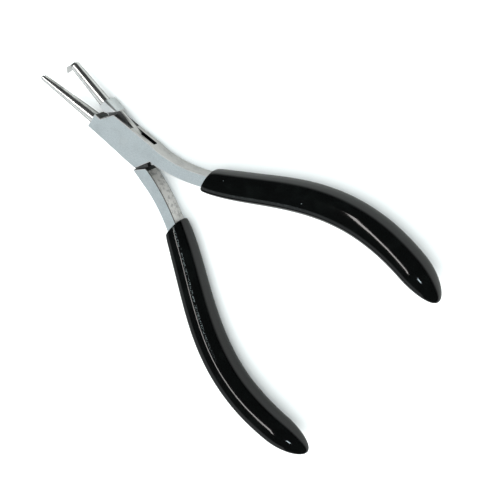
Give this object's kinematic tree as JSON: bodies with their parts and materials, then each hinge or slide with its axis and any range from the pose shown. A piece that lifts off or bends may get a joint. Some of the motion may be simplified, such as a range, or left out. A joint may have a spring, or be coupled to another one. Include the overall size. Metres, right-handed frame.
{
  "type": "crimping pliers",
  "caption": "Small box-joint pliers with a long forked round jaw, a shorter hooked jaw and dipped vinyl handles.",
  "frame": {"origin": "on the pivot axis, at the back face of the box", "axes": "+X towards the jaws along the line between the halves, +Y towards the long jaw, +Z along the pivot towards the front face"},
  "size_m": [0.1437, 0.087, 0.0106],
  "materials": {
    "polished_steel": "satin ground faces with a fine grain, polished jaws",
    "rivet_steel": "ground flush with the box faces",
    "black_vinyl": "dipped vinyl, very glossy, slightly uneven skin"
  },
  "bodies": {
    "slotted_body": {"slotted_half": "polished_steel", "pivot_rivet": "rivet_steel", "slotted_half_grip": "black_vinyl"},
    "tongue_body": {"tongue_half": "polished_steel", "tongue_half_grip": "black_vinyl"}
  },
  "joints": [
    {"name": "box_pivot", "type": "hinge", "parent": "slotted_body", "child": "tongue_body", "pos_m": [0, 0, 0.0027], "axis": [0, 0, -1], "range_deg": [-14, 21]}
  ]
}
